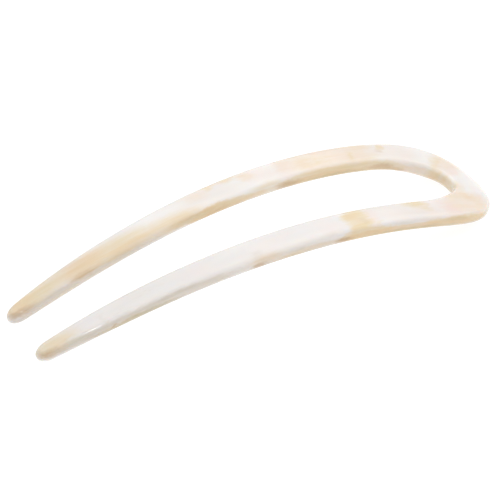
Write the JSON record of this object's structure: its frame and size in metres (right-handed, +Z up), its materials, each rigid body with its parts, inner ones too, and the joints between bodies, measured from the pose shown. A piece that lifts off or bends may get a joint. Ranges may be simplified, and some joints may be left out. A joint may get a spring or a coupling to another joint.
{
  "type": "french hair pin",
  "caption": "U-shaped hair pin of marbled cream acetate, with tapering prongs, bent lengthwise into a shallow arch.",
  "frame": {"origin": "on the ground, below the middle of the pin's overall box, as it stands on its tips and crown", "axes": "+X along the pin from the tips to the crown, +Y across the prongs, +Z up out of the arch"},
  "size_m": [0.1238, 0.0344, 0.0158],
  "materials": {
    "acetate": "polished, translucent cream acetate with white, peach and amber marbling"
  },
  "bodies": {
    "root": {"hair_pin": "acetate"}
  },
  "joints": []
}
